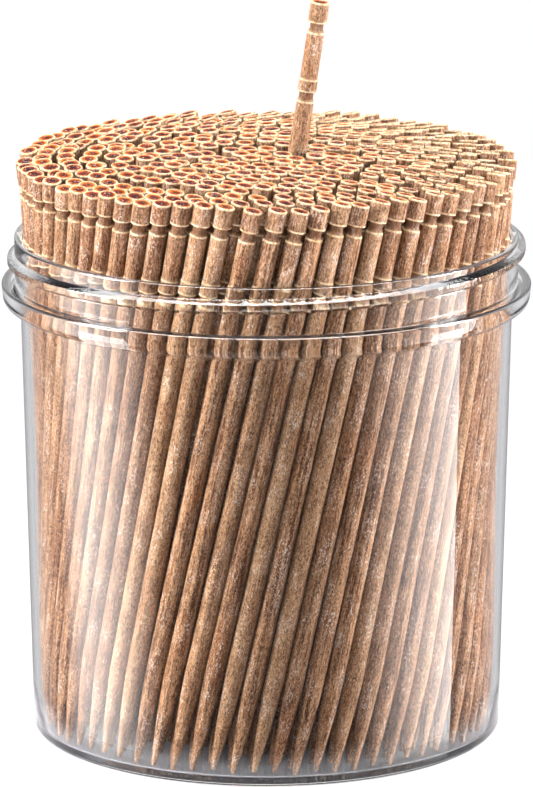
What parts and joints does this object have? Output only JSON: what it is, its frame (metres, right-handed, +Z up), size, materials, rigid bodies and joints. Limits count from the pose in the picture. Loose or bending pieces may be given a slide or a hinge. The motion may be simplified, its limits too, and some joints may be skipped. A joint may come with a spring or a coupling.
{
  "type": "toothpick dispenser",
  "caption": "Open clear moulded tub with a lid thread on its neck, packed with turned wooden cocktail picks that lean round in a twisted bundle, one drawn part of the way out.",
  "frame": {"origin": "centre of the face that the tub stands on", "axes": "+Z up along the tub's axis, -Y towards the front, +X to the right as seen from the front"},
  "size_m": [0.0588, 0.0588, 0.0832],
  "materials": {
    "clear_plastic": "clear glossy moulded polystyrene",
    "birch": "turned birch, unvarnished, with burnished orange-brown heads and rough grey-tan shafts"
  },
  "bodies": {
    "tub": {"tub": "clear_plastic", "picks_core": "birch", "picks_inner_01": "birch", "picks_inner_02": "birch", "picks_inner_03": "birch", "picks_inner_04": "birch", "picks_inner_05": "birch", "picks_inner_06": "birch", "picks_middle_01": "birch", "picks_middle_02": "birch", "picks_middle_03": "birch", "picks_middle_04": "birch", "picks_middle_05": "birch", "picks_middle_06": "birch", "picks_middle_07": "birch", "picks_middle_08": "birch", "picks_middle_09": "birch", "picks_middle_10": "birch", "picks_middle_11": "birch", "picks_middle_12": "birch", "picks_outer_01": "birch", "picks_outer_02": "birch", "picks_outer_03": "birch", "picks_outer_04": "birch", "picks_outer_05": "birch", "picks_outer_06": "birch", "picks_outer_07": "birch", "picks_outer_08": "birch", "picks_outer_09": "birch", "picks_outer_10": "birch", "picks_outer_11": "birch", "picks_outer_12": "birch", "picks_outer_13": "birch", "picks_outer_14": "birch", "picks_outer_15": "birch", "picks_outer_16": "birch", "picks_outer_17": "birch", "picks_outer_18": "birch", "picks_outer_19": "birch", "picks_outer_20": "birch", "picks_outer_21": "birch", "picks_outer_22": "birch", "picks_outer_23": "birch", "picks_outer_24": "birch"},
    "loose_pick_01": {"loose_pick_01": "birch"},
    "loose_pick_02": {"loose_pick_02": "birch"},
    "loose_pick_03": {"loose_pick_03": "birch"},
    "loose_pick_04": {"loose_pick_04": "birch"},
    "loose_pick_05": {"loose_pick_05": "birch"},
    "loose_pick_06": {"loose_pick_06": "birch"},
    "loose_pick_07": {"loose_pick_07": "birch"},
    "loose_pick_08": {"loose_pick_08": "birch"},
    "loose_pick_09": {"loose_pick_09": "birch"},
    "loose_pick_10": {"loose_pick_10": "birch"},
    "loose_pick_11": {"loose_pick_11": "birch"},
    "raised_pick": {"raised_pick": "birch"}
  },
  "joints": [
    {"name": "loose_pick_01_draw", "type": "slide", "parent": "tub", "child": "loose_pick_01", "axis": [0.1172, 0.0466, 0.992], "range_m": [0, 0.0676]},
    {"name": "loose_pick_02_draw", "type": "slide", "parent": "tub", "child": "loose_pick_02", "axis": [0.002, 0.0966, 0.9953], "range_m": [0, 0.0676]},
    {"name": "loose_pick_03_draw", "type": "slide", "parent": "tub", "child": "loose_pick_03", "axis": [-0.0842, -0.0163, 0.9963], "range_m": [0, 0.0677]},
    {"name": "loose_pick_04_draw", "type": "slide", "parent": "tub", "child": "loose_pick_04", "axis": [0.041, -0.0866, 0.9954], "range_m": [0, 0.0678]},
    {"name": "loose_pick_05_draw", "type": "slide", "parent": "tub", "child": "loose_pick_05", "axis": [0.1027, -0.0551, 0.9932], "range_m": [0, 0.0679]},
    {"name": "loose_pick_06_draw", "type": "slide", "parent": "tub", "child": "loose_pick_06", "axis": [0.1758, 0.1276, 0.9761], "range_m": [0, 0.0688]},
    {"name": "loose_pick_07_draw", "type": "slide", "parent": "tub", "child": "loose_pick_07", "axis": [-0.0165, 0.2184, 0.9757], "range_m": [0, 0.0687]},
    {"name": "loose_pick_08_draw", "type": "slide", "parent": "tub", "child": "loose_pick_08", "axis": [-0.2043, 0.0908, 0.9747], "range_m": [0, 0.069]},
    {"name": "loose_pick_09_draw", "type": "slide", "parent": "tub", "child": "loose_pick_09", "axis": [-0.1804, -0.1205, 0.9762], "range_m": [0, 0.0686]},
    {"name": "loose_pick_10_draw", "type": "slide", "parent": "tub", "child": "loose_pick_10", "axis": [0.0231, -0.2197, 0.9753], "range_m": [0, 0.0687]},
    {"name": "loose_pick_11_draw", "type": "slide", "parent": "tub", "child": "loose_pick_11", "axis": [0.1965, -0.0956, 0.9758], "range_m": [0, 0.0691]},
    {"name": "raised_pick_draw", "type": "slide", "parent": "tub", "child": "raised_pick", "axis": [0.1442, -0.0593, 0.9878], "range_m": [-0.01802, 0.0503]}
  ]
}
